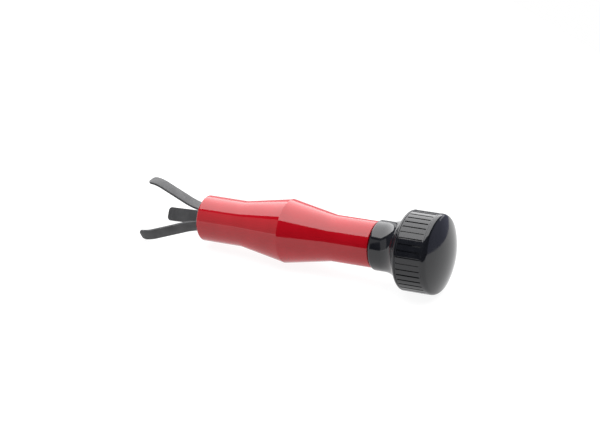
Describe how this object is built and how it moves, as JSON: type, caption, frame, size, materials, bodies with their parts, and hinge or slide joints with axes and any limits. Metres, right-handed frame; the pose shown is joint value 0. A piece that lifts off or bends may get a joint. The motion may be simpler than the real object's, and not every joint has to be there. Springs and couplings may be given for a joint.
{
  "type": "claw gripping hand tool",
  "caption": "Hand tool with a turned barrel, a fluted knob and flat steel fingers that a draw screw pulls into the nose to close on a small part.",
  "frame": {"origin": "centre of the barrel's nose face, on the tool's axis", "axes": "+X along the axis from the nose towards the knob, +Z through finger_a, so that finger_b and finger_c point down to the -Y and +Y sides"},
  "size_m": [0.1492, 0.036, 0.036],
  "materials": {
    "red_lacquer": "gloss red anodised and lacquered",
    "black_plastic": "gloss",
    "finger_steel": "satin, darkened",
    "steel": "machined",
    "spring_steel": "blued",
    "bronze": "sintered, oily",
    "brass": "machined",
    "rubber": "matt"
  },
  "bodies": {
    "barrel": {"barrel": "red_lacquer", "nose_ring": "steel", "guide_key": "steel", "rear_bush": "bronze"},
    "knob": {"drive_sleeve": "brass", "oring": "rubber", "sleeve_circlip": "spring_steel", "thrust_washer_front": "steel", "thrust_washer_rear": "steel", "knob_body": "black_plastic", "knob_washer": "steel", "knob_nut": "steel", "knob_cap": "black_plastic"},
    "draw": {"carrier": "steel", "draw_rod": "steel", "rod_pin": "steel", "rod_stop_ring": "spring_steel", "spreader_spring": "spring_steel", "spring_screw": "steel", "finger_pin_a": "steel", "finger_pin_b": "steel", "finger_pin_c": "steel"},
    "finger_a": {"finger_a": "finger_steel"},
    "finger_b": {"finger_b": "finger_steel"},
    "finger_c": {"finger_c": "finger_steel"}
  },
  "joints": [
    {"name": "knob_turn", "type": "hinge", "parent": "barrel", "child": "knob", "pos_m": [0.1, 0, 0], "axis": [-1, 0, 0], "range_deg": [0, 1440]},
    {"name": "carrier_slide", "type": "slide", "parent": "barrel", "child": "draw", "axis": [1, 0, 0], "range_m": [0, 0.016]},
    {"name": "finger_a_pivot", "type": "hinge", "parent": "draw", "child": "finger_a", "pos_m": [0.0123, 0, 0.0046], "axis": [0, -1, 0], "range_deg": [0, 10], "deforming": ["spreader_spring"]},
    {"name": "finger_b_pivot", "type": "hinge", "parent": "draw", "child": "finger_b", "pos_m": [0.0123, -0.00398, -0.0023], "axis": [0, 0.5, -0.866], "range_deg": [0, 10]},
    {"name": "finger_c_pivot", "type": "hinge", "parent": "draw", "child": "finger_c", "pos_m": [0.0123, 0.00398, -0.0023], "axis": [0, 0.5, 0.866], "range_deg": [0, 10]}
  ],
  "couplings": [
    {"joint": "carrier_slide", "follows": "knob_turn", "m_per_rad": 0.00063662},
    {"joint": "finger_a_pivot", "follows": "knob_turn", "ratio": 0.0069444},
    {"joint": "finger_b_pivot", "follows": "knob_turn", "ratio": 0.0069444},
    {"joint": "finger_c_pivot", "follows": "knob_turn", "ratio": 0.0069444}
  ]
}
